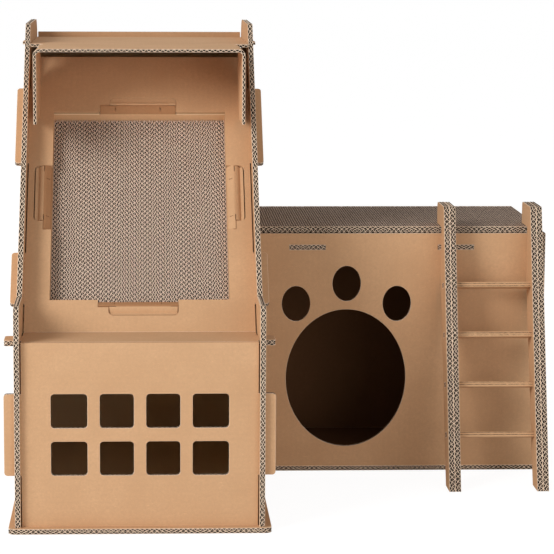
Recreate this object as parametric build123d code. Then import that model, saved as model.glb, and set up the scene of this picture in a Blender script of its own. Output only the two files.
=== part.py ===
from build123d import *
import math
import os

# A cardboard cat castle: a tower with a sloped lounge under a hood, a house with a paw-shaped
# door beside it and a ladder hooked over the house's edge. Millimetres, +Z up. The origin is the
# middle of the underside of the tower's base, -Y is the front and the house stands at +X.

# Sheet stock
board = 6.5  # double wall board of every wall, panel and base
thin_board = 3.8  # single wall board of the folded roof
card = 3.0  # card of the folded tray under the lounge
rail_board = 7.5  # each of the two plies glued into a ladder rail
pad_thickness = 23.0  # glued corrugated strips of both scratch pads
strip_pitch = 3.25  # from one of those strips to the next
strip_paper = 0.7
groove_strips = 12  # one open row is modelled in this many strips
groove_depth = 4.5
slip = 0.3  # play between a tab and its slot, all round
panel_gap = 1.5  # gap between a panel's long edges and the tower's walls

# Tower base and walls; depths are measured back from the base's front edge
inner_width = 282.0
base_depth = 565.0
base_rim = 8.0  # how far the base stands out past the walls at each side
base_corner = 8.0
wall_setback = 5.0
shoulder_rise = 43.0  # how far the low front of each wall stands above the ledge
shoulder_depth = 86.0  # where that low front ends and the slope starts
slope_angle = 48.3
wall_round = 10.0  # rounding of the walls' upper front corners
wall_back_round = 30.0
foot_length = 70.0  # tabs that stand the walls in the bases
foot_inset = 90.0

# Window panel, ledge and plain back of the tower
panel_setback = 12.0
ledge_height = 227.0
window_margin = 36.1  # from the wall's inner face to the first window
window_gap = 14.5
outer_window_width = 43.0
window_height = 41.0
window_rise = 68.0  # lower edge of the lower row
row_gap = 16.0
window_round = 4.5
ear_reach = 12.5  # how far the window panel's and the ledge's ears stand out past the walls
ear_round = 4.0
ear_root = 12.0  # how far an ear's outline runs back into its sheet
ledge_ear_start = 28.0
ledge_ear_length = 33.0
back_inset = 2.0  # from the walls' back edge, past the panel's own thickness
back_drop = 18.0  # how far the back panel stops below the walls' top
back_tab_length = 60.0
back_tab_rise = 110.0

# Lounge, measured up the slope from the ledge's back edge
lounge_top_gap = 14.2  # from the lounge panel's upper edge up to the roof
lounge_ear_reach = 9.5
low_ear_start = 40.0
low_ear_length = 75.0
high_ear_drop = 51.9  # from the lounge panel's upper edge down to the upper ears
high_ear_length = 119.0
opening_start = 46.0
opening_length = 286.0  # the scratch pad's opening
upper_band = 89.9  # from that opening up to the lounge panel's upper edge
side_band = 31.6  # from the wall's inner face to the lounge's opening
recess = 17.0  # how deep the scratch pad lies below the lounge panel
pad_play = 0.5

# Tuck flaps that hold the tray, one in the middle of each side of the opening
flap_length = 97.0
flap_width = 10.0
flap_drop = 5.0  # how far the flap's inner edge lies below the panel
flap_crest = 2.0  # how far its fold stands above the panel
tongue_length = 84.0
tongue_width = 12.0
tongue_dip = 2.8  # how deep its lowest line lies, just past the fold
tongue_drop_width = 3.5
tongue_end_dip = 1.4
tongue_round = 6.0
neck_length = 57.0
neck_slit = 0.9
fold_slit = 9.0  # slits along the fold at both ends of the tongue
side_flap_shift = 9.5  # the side flaps sit a little above the opening's middle
cross_flap_shift = -2.0  # the upper and lower flaps sit a little left of the middle

# Roof: one sheet, wide between the walls and folded down at both sides of the hood
roof_drop = 25.0  # how far the roof lies below the walls' top
shoulder_lead = 9.0  # how far the wide part starts ahead of the walls' slope
hood_reach = 134.0
hood_width = 258.0
hood_drop = 93.0
fold_radius = 6.0
roof_tab_start = 70.0  # behind the front of the wide part
roof_tab_length = 37.0
roof_tab_reach = 6.0

# House; lengths are measured from the tower wall's outer face
house_length = 382.5
house_setback = 317.0
house_height = 316.0
shelf_drop = 15.0  # from the panels' upper edge down to the shelf
shelf_tab_first = 47.5
shelf_tab_second = 241.5
shelf_tab_length = 47.0
house_tab_rise = 60.0
house_tab_length = 50.0
house_tab_pitch = 150.0
house_foot_length = 50.0
door_centre = 122.5
door_centre_height = 124.5
door_width = 158.0
door_height = 182.8
toe_width = 37.4
toe_height = 46.6
toe_spread = 66.1
side_toe_rise = 99.0
middle_toe_rise = 125.5

# Ladder
ladder_start = 245.5  # from the tower wall's outer face to the left rail
ladder_inner_width = 97.5
foot_reach = 122.0  # how far the rails' feet stand ahead of the house
top_reach = 20.3
rail_foot_depth = 35.0
bearing_length = 64.0  # the part of a rail's back that lies against the house
hook_reach = 43.0
hook_height = 29.0
rail_round = 5.0
rung_count = 4
rung_first = 71.3
rung_pitch = 62.0
rung_setback = 12.0
rung_depth = 20.0
rung_tab_depth = 12.0

# Values worked out from the ones above
front = -base_depth / 2
wall_front = front + wall_setback
wall_back = front + base_depth - wall_setback
wall_inner = inner_width / 2
wall_outer = wall_inner + board
base_half = wall_outer + base_rim
panel_half = wall_inner - panel_gap
panel_front = front + panel_setback
slope_start = front + shoulder_depth
slope_rise = math.tan(math.radians(slope_angle))
opening_end = opening_start + opening_length
opening_half = wall_inner - side_band
lounge_length = opening_end + upper_band
lounge_height = ledge_height + lounge_length * math.sin(math.radians(slope_angle))
roof_under = lounge_height + lounge_top_gap
roof_height = roof_under + thin_board
tower_height = roof_height + roof_drop
shoulder_height = ledge_height + shoulder_rise
wall_top_start = slope_start + (tower_height - shoulder_height) / slope_rise
ledge_back = slope_start
back_panel_front = wall_back - back_inset - board
wide_start = slope_start + (roof_height - shoulder_height) / slope_rise - shoulder_lead
hood_front = wide_start - hood_reach
house_front = front + house_setback
house_right = wall_outer + house_length
house_inner_right = house_right - board
shelf_top = house_height - shelf_drop
shelf_front = house_front + board + slip
shelf_back = wall_back - board - slip
pad_top = shelf_top + pad_thickness
rail_top = pad_top + hook_height
rail_left = wall_outer + ladder_start
rail_thickness = 2 * rail_board
rail_right = rail_left + rail_thickness + ladder_inner_width
rail_foot = house_front - foot_reach
rail_lean = math.atan((foot_reach - top_reach) / rail_top)

# Planes of the sheets: local x and y are X and Z on a panel, Y and Z on a wall
slope_plane = Plane(
    origin=(0, slope_start, ledge_height),
    x_dir=(1, 0, 0),
    z_dir=(0, -math.sin(math.radians(slope_angle)), math.cos(math.radians(slope_angle))),
)


def panel_plane(face_y):
    """The plane of a panel that faces the front, at its back face."""
    return Plane(origin=(0, face_y + board, 0), x_dir=(1, 0, 0), z_dir=(0, -1, 0))


def wall_plane(left_x):
    """The plane of a wall that faces the side, at its left face."""
    return Plane(origin=(left_x, 0, 0), x_dir=(0, 1, 0), z_dir=(1, 0, 0))


def rect(x0, x1, y0, y1, grow=0.0):
    """A rectangle between two corners, grown all round by the play of a slot."""
    centre = Pos((x0 + x1) / 2, (y0 + y1) / 2)
    return centre * Rectangle(abs(x1 - x0) + 2 * grow, abs(y1 - y0) + 2 * grow)


def round_rect(x0, x1, y0, y1, radius):
    """A rectangle between two corners with rounded corners."""
    centre = Pos((x0 + x1) / 2, (y0 + y1) / 2)
    return centre * RectangleRounded(abs(x1 - x0), abs(y1 - y0), radius)


def on_slope(shape):
    """Turns a sketch in up-slope length and height into the wall plane's Y and Z."""
    return Pos(slope_start, ledge_height) * Rot(0, 0, slope_angle) * shape


def open_rows(x0, x1, y0, y1):
    """The main open rows between a scratch pad's strips, which run the pad's whole length in y."""
    spacing = groove_strips * strip_pitch
    count = int((x1 - x0) / spacing)
    width = strip_pitch - strip_paper
    centres = [(x0 + x1) / 2 + (k - (count - 1) / 2) * spacing for k in range(count)]
    return [rect(x - width / 2, x + width / 2, y0, y1) for x in centres]


# Tab outlines that a sheet and the slots of its neighbour share
def foot_spans(start, end, length):
    """The two stretches in which a wall stands through its base."""
    return [(start + foot_inset, start + foot_inset + length),
            (end - foot_inset - length, end - foot_inset)]


def tower_feet():
    return foot_spans(wall_front, wall_back, foot_length)


def house_feet():
    inset = (wall_back - house_front) / 2
    return [(house_front + inset - house_foot_length / 2, house_front + inset + house_foot_length / 2)]


def back_tabs():
    """Heights of the tower back panel's tabs."""
    upper = tower_height - back_drop - back_tab_rise
    return [(back_tab_rise, back_tab_rise + back_tab_length), (upper - back_tab_length, upper)]


def house_tabs():
    """Heights of the tabs at both ends of the house's front and back panels."""
    starts = [house_tab_rise, house_tab_rise + house_tab_pitch]
    return [(start, start + house_tab_length) for start in starts]


def lounge_ears():
    high_end = lounge_length - high_ear_drop
    return [(low_ear_start, low_ear_start + low_ear_length), (high_end - high_ear_length, high_end)]


def shelf_tabs():
    starts = [wall_outer + shelf_tab_first, wall_outer + shelf_tab_second]
    return [(start, start + shelf_tab_length) for start in starts]


def shelf_end_tab():
    """The one tab at the shelf's right end, as a stretch of depth."""
    middle = (shelf_front + shelf_back) / 2
    return (middle - shelf_tab_length / 2, middle + shelf_tab_length / 2)


def window_rows():
    low = window_rise
    return [(low, low + window_height), (low + window_height + row_gap, low + 2 * window_height + row_gap)]


def roof_tab():
    return (wide_start + roof_tab_start, wide_start + roof_tab_start + roof_tab_length)


# Tower
def tower_base():
    """The floor sheet, with a slot for each foot of the walls."""
    outline = round_rect(-base_half, base_half, front, front + base_depth, base_corner)
    for y0, y1 in tower_feet():
        for side in (-1, 1):
            outline -= rect(side * wall_inner, side * wall_outer, y0, y1, slip)
    return extrude(outline, board)


def tower_wall_outline():
    """The stepped side: a low front, the slope of the lounge and a high back."""
    points = [
        (wall_front, board),
        (wall_front, shoulder_height),
        (slope_start, shoulder_height),
        (wall_top_start, tower_height),
        (wall_back, tower_height),
        (wall_back, board),
    ]
    outline = make_face(Polyline(*points, close=True))
    corners = outline.vertices()
    front_top = corners.sort_by_distance((wall_front, shoulder_height))[0]
    slope_top = corners.sort_by_distance((wall_top_start, tower_height))[0]
    outline = fillet([front_top, slope_top], wall_round)
    back_top = outline.vertices().sort_by_distance((wall_back, tower_height))[0]
    return fillet(back_top, wall_back_round)


def tower_wall_cuts():
    """The slots that both walls share."""
    cuts = []
    rows = window_rows()
    cuts.append(rect(panel_front, panel_front + board, rows[0][0], rows[1][1], slip))
    ledge_y = front + ledge_ear_start
    cuts.append(rect(ledge_y, ledge_y + ledge_ear_length, ledge_height - board, ledge_height, slip))
    for s0, s1 in lounge_ears():
        cuts.append(on_slope(rect(s0, s1, -board, 0, slip)))
    y0, y1 = roof_tab()
    cuts.append(rect(y0, y1, roof_under, roof_height, slip))
    for z0, z1 in back_tabs():
        cuts.append(rect(back_panel_front, back_panel_front + board, z0, z1, slip))
    return cuts


def tower_wall(left_x, extra_cuts=()):
    outline = tower_wall_outline()
    for y0, y1 in tower_feet():
        outline += rect(y0, y1, 0, board)
    for cut in [*tower_wall_cuts(), *extra_cuts]:
        outline -= cut
    return extrude(wall_plane(left_x) * outline, board)


def tower_right_wall():
    """The wall beside the house also takes the tabs of the house's panels."""
    cuts = []
    for z0, z1 in house_tabs():
        cuts.append(rect(house_front, house_front + board, z0, z1, slip))
        cuts.append(rect(wall_back - board, wall_back, z0, z1, slip))
    return tower_wall(wall_inner, cuts)


def window_panel():
    """The front of the tower, with two rows of four windows and an ear at each side."""
    outline = rect(-panel_half, panel_half, board, ledge_height)
    rows = window_rows()
    ear_out = wall_outer + ear_reach
    for side in (-1, 1):
        outline += round_rect(side * (panel_half - ear_root), side * ear_out,
                              rows[0][0], rows[1][1], ear_round)
    outer_edge = wall_inner - window_margin
    inner_start = window_gap / 2
    inner_end = outer_edge - outer_window_width - window_gap
    columns = [(inner_start, inner_end), (outer_edge - outer_window_width, outer_edge)]
    for z0, z1 in rows:
        for x0, x1 in columns:
            for side in (-1, 1):
                outline -= round_rect(side * x0, side * x1, z0, z1, window_round)
    return extrude(panel_plane(panel_front) * outline, board)


def ledge_board():
    """The narrow seat between the window panel and the foot of the lounge."""
    outline = rect(-panel_half, panel_half, panel_front + board + slip, ledge_back)
    y0 = front + ledge_ear_start
    for side in (-1, 1):
        outline += round_rect(side * (panel_half - ear_root), side * (wall_outer + ear_reach),
                              y0, y0 + ledge_ear_length, ear_round)
    return extrude(Pos(0, 0, ledge_height - board) * outline, board)


def tower_back_panel():
    """The plain back, held by tabs that end flush with the walls."""
    outline = rect(-panel_half, panel_half, board, tower_height - back_drop)
    for z0, z1 in back_tabs():
        outline += rect(-wall_outer, wall_outer, z0, z1)
    return extrude(panel_plane(back_panel_front) * outline, board)


# Lounge
def flap_places():
    """For each tuck flap: the frame at its corner and which end its tongue is lined up with.

    In a frame the local x runs outward over the panel and the local y along the opening's edge."""
    left_end = cross_flap_shift - flap_length / 2
    right_end = cross_flap_shift + flap_length / 2
    side_start = (opening_start + opening_end - flap_length) / 2 + side_flap_shift
    side_end = side_start + flap_length
    return [
        (Location((opening_half, side_start, 0)), 1),
        (Location((-opening_half, side_end, 0), (0, 0, 180)), -1),
        (Location((right_end, opening_end, 0), (0, 0, 90)), -1),
        (Location((left_end, opening_start, 0), (0, 0, -90)), 1),
    ]


def tongue_span(end):
    """The stretch of a flap's length that its tongue takes."""
    if end > 0:
        return (flap_length - tongue_length, flap_length)
    return (0.0, tongue_length)


def flap_outline(end, grow=0.0):
    """The flap and its tongue as seen from above, grown by the play of the cut-out."""
    y0, y1 = tongue_span(end)
    strip = rect(0, flap_width, 0, flap_length, grow)
    tongue = round_rect(0, flap_width + tongue_width + grow, y0 - grow, y1 + grow, tongue_round)
    return strip + tongue


def flap(end):
    """One folded flap: up from the tray's wall, over its crest and down into the cut-out."""
    middle = card / 2
    section = trace(
        FilletPolyline(
            (middle, -board - card),
            (middle, -flap_drop),
            (flap_width, flap_crest - middle),
            (flap_width + tongue_drop_width, -tongue_dip - middle),
            (flap_width + tongue_width + card, -tongue_end_dip - middle),
            radius=card,
        ),
        card,
    )
    along = Plane(origin=(0, 0, 0), x_dir=(1, 0, 0), z_dir=(0, -1, 0))
    band = extrude(along * section, -flap_length)
    lowest = Pos(0, 0, -board - card)
    full_height = board + 2 * card + flap_crest
    folded = band & extrude(lowest * flap_outline(end), full_height)
    slits_low = (flap_length - neck_length) / 2
    slits = [rect(card, flap_width - card, y - neck_slit / 2, y + neck_slit / 2)
             for y in (slits_low, flap_length - slits_low)]
    y0, y1 = tongue_span(end)
    slits += [rect(flap_width - neck_slit / 2, flap_width + neck_slit / 2, start, start + fold_slit)
              for start in (y0, y1 - fold_slit)]
    for slit in slits:
        folded -= extrude(lowest * slit, full_height)
    return folded


def lounge_panel():
    """The sloped sheet, with ears through the walls and the opening of the scratch pad."""
    outline = rect(-panel_half, panel_half, 0, lounge_length)
    for s0, s1 in lounge_ears():
        for side in (-1, 1):
            outline += round_rect(side * (panel_half - ear_root),
                                  side * (wall_outer + lounge_ear_reach), s0, s1, ear_round)
    outline -= rect(-opening_half, opening_half, opening_start, opening_end)
    for place, end in flap_places():
        outline -= place * flap_outline(end, slip)
    return extrude(slope_plane * outline, -board)


def lounge_tray():
    """The folded tray that hangs the scratch pad under the lounge panel."""
    inside = rect(-opening_half, opening_half, opening_start, opening_end)
    outside = rect(-opening_half, opening_half, opening_start, opening_end, card)
    floor = -recess - pad_thickness
    tray = extrude(Pos(0, 0, floor - card) * outside, -floor + card - board - slip)
    tray -= extrude(Pos(0, 0, floor) * inside, -floor)
    for place, end_side in flap_places():
        tray += place * flap(end_side)
    return slope_plane * tray


def lounge_scratch_pad():
    """Strips of board on edge, glued side by side and running up the slope."""
    outline = rect(-opening_half, opening_half, opening_start, opening_end, -pad_play)
    pad = extrude(Pos(0, 0, -recess) * outline, -pad_thickness)
    for row in open_rows(-opening_half, opening_half, opening_start, opening_end):
        pad -= extrude(Pos(0, 0, -recess) * row, -groove_depth)
    return slope_plane * pad


# Roof
def roof_canopy():
    """One folded sheet: the wide roof between the walls and the hood with its side flaps."""
    fold = FilletPolyline(
        (-hood_width / 2, roof_height - hood_drop),
        (-hood_width / 2, roof_height - thin_board / 2),
        (hood_width / 2, roof_height - thin_board / 2),
        (hood_width / 2, roof_height - hood_drop),
        radius=fold_radius,
    )
    hood_plane = Plane(origin=(0, wide_start, 0), x_dir=(1, 0, 0), z_dir=(0, -1, 0))
    hood = extrude(hood_plane * trace(fold, thin_board), hood_reach)
    slant = on_slope(rect(-lounge_length, 2 * lounge_length, -lounge_length, slip))
    hood -= extrude(wall_plane(-hood_width) * slant, 2 * hood_width)
    wide = rect(-wall_inner + slip, wall_inner - slip, wide_start, back_panel_front - slip)
    y0, y1 = roof_tab()
    reach = wall_outer + roof_tab_reach
    wide += rect(-reach, reach, y0, y1)
    return hood + extrude(Pos(0, 0, roof_under) * wide, thin_board)


# House
def house_base():
    outline = rect(base_half + slip, house_right, house_front, wall_back)
    for y0, y1 in house_feet():
        outline -= rect(house_inner_right, house_right, y0, y1, slip)
    return extrude(outline, board)


def house_panel_outline():
    """What the front and the back of the house share: a sheet with flush tabs at its ends."""
    outline = rect(wall_outer, house_inner_right, board, house_height)
    for z0, z1 in house_tabs():
        outline += rect(wall_inner, house_right, z0, z1)
    for x0, x1 in shelf_tabs():
        outline -= rect(x0, x1, shelf_top - board, shelf_top, slip)
    return outline


def paw_front_panel():
    """The front of the house, cut out as a paw: one big oval door and three toes."""
    outline = house_panel_outline()
    centre_x = wall_outer + door_centre
    outline -= Pos(centre_x, door_centre_height) * Ellipse(door_width / 2, door_height / 2)
    toes = [(-toe_spread, side_toe_rise), (0, middle_toe_rise), (toe_spread, side_toe_rise)]
    for dx, dz in toes:
        toe = Ellipse(toe_width / 2, toe_height / 2)
        outline -= Pos(centre_x + dx, door_centre_height + dz) * toe
    return extrude(panel_plane(house_front) * outline, board)


def house_back_panel():
    return extrude(panel_plane(wall_back - board) * house_panel_outline(), board)


def house_right_wall():
    outline = rect(house_front, wall_back, board, house_height)
    for y0, y1 in house_feet():
        outline += rect(y0, y1, 0, board)
    for z0, z1 in house_tabs():
        outline -= rect(house_front - board, house_front + board, z0, z1, slip)
        outline -= rect(wall_back - board, wall_back + board, z0, z1, slip)
    y0, y1 = shelf_end_tab()
    outline -= rect(y0, y1, shelf_top - board, shelf_top, slip)
    return extrude(wall_plane(house_inner_right) * outline, board)


def house_shelf():
    """The flat top that carries the house's scratch pad, tabbed into both panels."""
    outline = rect(wall_outer + slip, house_inner_right - slip, shelf_front, shelf_back)
    for x0, x1 in shelf_tabs():
        outline += rect(x0, x1, house_front, wall_back)
    y0, y1 = shelf_end_tab()
    outline += rect(house_inner_right - board, house_right, y0, y1)
    return extrude(Pos(0, 0, shelf_top - board) * outline, board)


def house_scratch_pad():
    """The same strips on the shelf, running from the front to the back."""
    left, right = wall_outer + slip, house_inner_right - slip
    pad = extrude(Pos(0, 0, shelf_top) * rect(left, right, shelf_front, shelf_back), pad_thickness)
    for row in open_rows(left, right, shelf_front, shelf_back):
        pad -= extrude(Pos(0, 0, pad_top) * row, -groove_depth)
    return pad


# Ladder
def rung_place(number):
    """The frame of a rung in the wall plane, square to the rail's front edge."""
    height = rung_first + number * rung_pitch
    y = rail_foot + height * math.tan(rail_lean)
    return Pos(y, height) * Rot(0, 0, -math.degrees(rail_lean))


def rung_section(depth, grow=0.0):
    """A rung's section at the middle of its depth."""
    middle = rung_setback + rung_depth / 2
    return rect(middle - depth / 2, middle + depth / 2, -board / 2, board / 2, grow)


def rail_ply(left_x):
    """One ply of a rail: leaning on the house, with a hook over the edge of the scratch pad."""
    points = [
        (rail_foot, 0),
        (house_front - top_reach, rail_top),
        (house_front + hook_reach, rail_top),
        (house_front + hook_reach, pad_top + slip),
        (house_front - slip, pad_top + slip),
        (house_front - slip, pad_top - bearing_length),
        (rail_foot + rail_foot_depth, 0),
    ]
    outline = make_face(Polyline(*points, close=True))
    corners = outline.vertices()
    tops = [corners.sort_by_distance(points[i])[0] for i in (1, 2)]
    outline = fillet(tops, rail_round)
    for number in range(rung_count):
        outline -= rung_place(number) * rung_section(rung_tab_depth, slip)
    return extrude(wall_plane(left_x) * outline, rail_board)


def rung(number):
    """A rung between the rails, with a narrower tab through both plies at each end."""
    place = rung_place(number)
    inner = rail_left + rail_thickness
    bar = extrude(wall_plane(inner) * (place * rung_section(rung_depth)), ladder_inner_width)
    tabs = extrude(wall_plane(rail_left) * (place * rung_section(rung_tab_depth)),
                   2 * rail_thickness + ladder_inner_width)
    return bar + tabs


# Write each piece to its own file
pieces = {
    "tower_base": tower_base(),
    "tower_left_wall": tower_wall(-wall_outer),
    "tower_right_wall": tower_right_wall(),
    "tower_back_panel": tower_back_panel(),
    "window_panel": window_panel(),
    "ledge_board": ledge_board(),
    "lounge_panel": lounge_panel(),
    "lounge_tray": lounge_tray(),
    "lounge_scratch_pad": lounge_scratch_pad(),
    "roof_canopy": roof_canopy(),
    "house_base": house_base(),
    "paw_front_panel": paw_front_panel(),
    "house_back_panel": house_back_panel(),
    "house_right_wall": house_right_wall(),
    "house_shelf": house_shelf(),
    "house_scratch_pad": house_scratch_pad(),
    "left_rail_outer_ply": rail_ply(rail_left),
    "left_rail_inner_ply": rail_ply(rail_left + rail_board),
    "right_rail_inner_ply": rail_ply(rail_right),
    "right_rail_outer_ply": rail_ply(rail_right + rail_board),
}
for number in range(rung_count):
    pieces[f"ladder_rung_{number + 1}"] = rung(number)

os.makedirs("parts", exist_ok=True)
for name, piece in pieces.items():
    export_step(piece, f"parts/{name}.step")
    print(name, round(piece.volume))
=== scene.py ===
import math
import random

import bmesh
import bpy
from bpy.props import FloatProperty, FloatVectorProperty, IntProperty, PointerProperty
from mathutils import Matrix, Vector, geometry


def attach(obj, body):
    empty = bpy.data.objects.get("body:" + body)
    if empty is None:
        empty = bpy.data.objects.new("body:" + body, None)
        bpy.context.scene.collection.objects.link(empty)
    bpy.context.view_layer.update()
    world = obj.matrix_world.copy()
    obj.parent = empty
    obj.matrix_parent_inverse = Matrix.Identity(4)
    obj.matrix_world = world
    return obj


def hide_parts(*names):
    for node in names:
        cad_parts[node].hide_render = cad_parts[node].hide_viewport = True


# Dresses the cardboard cat castle: every sheet becomes real corrugated board with liners and
# flutes, both scratch pads become strips of glued board, and the hood is one folded sheet.
# Metres, +Z up, -Y is the front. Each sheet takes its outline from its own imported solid.

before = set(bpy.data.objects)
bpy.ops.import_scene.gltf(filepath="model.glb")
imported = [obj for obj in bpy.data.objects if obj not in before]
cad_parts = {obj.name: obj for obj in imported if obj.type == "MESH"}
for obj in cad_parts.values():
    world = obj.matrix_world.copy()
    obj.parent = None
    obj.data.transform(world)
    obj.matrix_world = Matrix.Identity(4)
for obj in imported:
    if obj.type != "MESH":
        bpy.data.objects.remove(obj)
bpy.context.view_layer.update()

bl_info = {
    "name": "Cardboard Cat Castle",
    "version": (1, 0, 0),
    "blender": (4, 5, 0),
    "location": "3D View > Sidebar > Castle",
    "description": "Corrugated boards, scratch pads, hood and ladder of a cardboard cat castle",
    "category": "Object",
}

BODY = "root"
SLOPE = math.radians(48.3)  # the lounge's slope
X = Vector((1, 0, 0))
Y = Vector((0, 1, 0))
Z = Vector((0, 0, 1))
UP_SLOPE = Vector((0, math.cos(SLOPE), math.sin(SLOPE)))
OFF_SLOPE = Vector((0, -math.sin(SLOPE), math.cos(SLOPE)))
LOUNGE_AXES = (UP_SLOPE, X, OFF_SLOPE)
SAME = 1e-6  # points nearer than this are one point
NEAR = SAME * 10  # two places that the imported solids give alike
FLUSH = SAME * 20  # a face this near to a sheet's upper level lies in it
FAR = 1.0  # beyond the castle on any side

# The direction of a sheet's flutes, the one across them and the one through the sheet
LYING, FRONTAL, SIDEWAYS = (Y, X, Z), (Z, X, Y), (Y, Z, X)
TOWER_SHEETS = {
    "tower_base": LYING,
    "tower_left_wall": SIDEWAYS,
    "tower_right_wall": SIDEWAYS,
    "tower_back_panel": FRONTAL,
    "window_panel": FRONTAL,
    "ledge_board": LYING,
}
LOWER, UPPER = 0, 1
HOUSE_SHEETS = {  # with the side that faces the house's dim room, which gets painted shade
    "house_base": (LYING, UPPER),
    "paw_front_panel": (FRONTAL, UPPER),
    "house_back_panel": (FRONTAL, LOWER),
    "house_right_wall": (SIDEWAYS, LOWER),
    "house_shelf": (LYING, LOWER),
}
RAIL_PLIES = (
    "left_rail_outer_ply", "left_rail_inner_ply", "right_rail_inner_ply", "right_rail_outer_ply",
)
# The inside and room finishes are painted shade: near black paper in the flutes and dark faces in the
# house's room
FACE, CUT, INSIDE, ROOM_PAINTED_SHADE = range(4)  # a board's finishes, in the order of its materials
BOARD_ROWS = 2  # rows of flutes in every board except the roof's


def length(name, description, default):
    """A size of the castle that a user can change."""
    return FloatProperty(name=name, description=description, default=default, min=0.0, precision=5,
                         subtype="DISTANCE", unit="LENGTH")


def colour(name, description, default):
    return FloatVectorProperty(name=name, description=description, default=default, size=3,
                               min=0.0, max=1.0, subtype="COLOR")


class CastleSizes(bpy.types.PropertyGroup):
    """Sizes of the paper in the boards and the scratch pads."""
    flute_pitch: length("Flute pitch", "From one flute to the next in the first row", 0.0068)
    fine_pitch: length("Fine flute pitch", "From one flute to the next in the second row", 0.0057)
    liner: length("Liner", "Paper on both faces of the board", 0.00042)
    middle_liner: length("Middle liner", "Paper between the board's two rows of flutes", 0.00025)
    flute_paper: length("Flute paper", "Paper of the board's flutes", 0.00066)
    rim: length("Rim", "Worn rim along each cut edge", 0.00025)
    flute_recess: length("Flute recess", "How far the flutes end inside the cut", 0.0002)
    pad_row: length("Pad row", "From one strip of a scratch pad to the next", 0.0032)
    pad_pitch: length("Pad flute pitch", "From one flute of a pad's strip to the next", 0.0067)
    pad_paper: length("Pad paper", "Wavy paper of a pad's strips", 0.00072)
    pad_liner: length("Pad liner", "Paper between the lounge pad's strips", 0.00045)
    house_pad_liner: length("House pad liner", "Paper between the house pad's strips", 0.00062)
    pad_end: length("Pad end", "Depth of the strips that close the house pad's front and back", 0.0016)
    cell_depth: length("Cell depth", "How deep the open cells of a pad are modelled", 0.009)
    pad_wear: length("Pad wear", "How much the strips differ in height", 0.0003)
    flute_steps: IntProperty(name="Flute steps", description="Points in one flute", default=8,
                             min=4, max=16)
    seed: IntProperty(name="Seed", description="Start of the random wear", default=7, min=0)


class CastleColours(bpy.types.PropertyGroup):
    """Colours of the paper, the floor, and the light and shade painted on the castle's inner faces."""
    kraft: colour("Kraft", "Face of the board", (0.66, 0.395, 0.215))
    kraft_dark: colour("Kraft, dark", "Darker clouds in the face of the board", (0.58, 0.335, 0.175))
    # Painted shade: the house's inner faces are dark, for the shade inside the room
    room: colour("Room", "Inner faces of the house", (0.18, 0.078, 0.030))
    # Painted light: the tower's inner faces below the lounge are pale, as if lit through the windows
    den_painted_light: colour("Den", "Inner faces of the tower below the lounge", (0.95, 0.72, 0.46))
    cut_edge: colour("Cut edge", "Cut edges of the paper", (0.98, 0.74, 0.55))
    # Painted shade: the paper inside the boards is near black, for the shade in the flutes
    cell: colour("Cell", "Paper inside the board", (0.04, 0.019, 0.009))
    pad_rim: colour("Pad rim", "Cut edges of the pads' strips", (0.99, 0.74, 0.58))
    # Painted shade: the paper inside the pads is near black, for the shade in the cells
    pad_cell_painted_shade: colour("Pad cell", "Paper inside the pads", (0.035, 0.016, 0.008))
    floor: colour("Floor", "The studio's floor", (0.86, 0.86, 0.86))


def sizes():
    return bpy.context.scene.castle_sizes


def colours():
    return bpy.context.scene.castle_colours


def added(name, data):
    """A new object in the scene."""
    made = bpy.data.objects.new(name, data)
    bpy.context.scene.collection.objects.link(made)
    return made


# Materials


SOFT_EDGE = 0.0003  # over which a tone of the board begins
RIPPLE_TINT = 0.03  # how much the flutes below darken the board's face
RIPPLE_HEIGHT = 0.2  # how much they raise it, where the grain's relief is 1
KRAFT_ROUGHNESS = (0.78, 0.94)
TORN_ROUGHNESS = (0.85, 1.0)
CUT_FUZZ = (1400.0, 0.25)  # scale and contrast of the fuzz on a board's cut paper
INSIDE_FUZZ = (700.0, 0.3)
RIM_FUZZ = (900.0, 0.4)  # the same for the pads
CELL_FUZZ = (500.0, 0.3)


class Nodes:
    """A node tree and short ways to add to it."""

    def __init__(self, tree):
        self.nodes = tree.nodes
        self.links = tree.links

    def node(self, kind, settings=None, **inputs):
        made = self.nodes.new(kind)
        for key, value in (settings or {}).items():
            setattr(made, key, value)
        for key, value in inputs.items():
            self.feed(made.inputs[key.replace("_", " ")], value)
        return made

    def feed(self, socket, value):
        if isinstance(value, bpy.types.NodeSocket):
            self.links.new(value, socket)
        else:
            socket.default_value = value

    def maths(self, operation, first, second=0.0):
        made = self.node("ShaderNodeMath", {"operation": operation})
        self.feed(made.inputs[0], first)
        self.feed(made.inputs[1], second)
        return made.outputs[0]

    def remap(self, value, low, high, to_low=0.0, to_high=1.0):
        made = self.node("ShaderNodeMapRange", Value=value, From_Min=low, From_Max=high,
                         To_Min=to_low, To_Max=to_high)
        return made.outputs["Result"]

    def seen(self):
        """1 for rays that see the surroundings straight, mirrored or through something clear."""
        path = self.node("ShaderNodeLightPath")
        near = self.maths("MAXIMUM", path.outputs["Is Camera Ray"], path.outputs["Is Glossy Ray"])
        return self.maths("MAXIMUM", near, path.outputs["Is Transmission Ray"])


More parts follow.
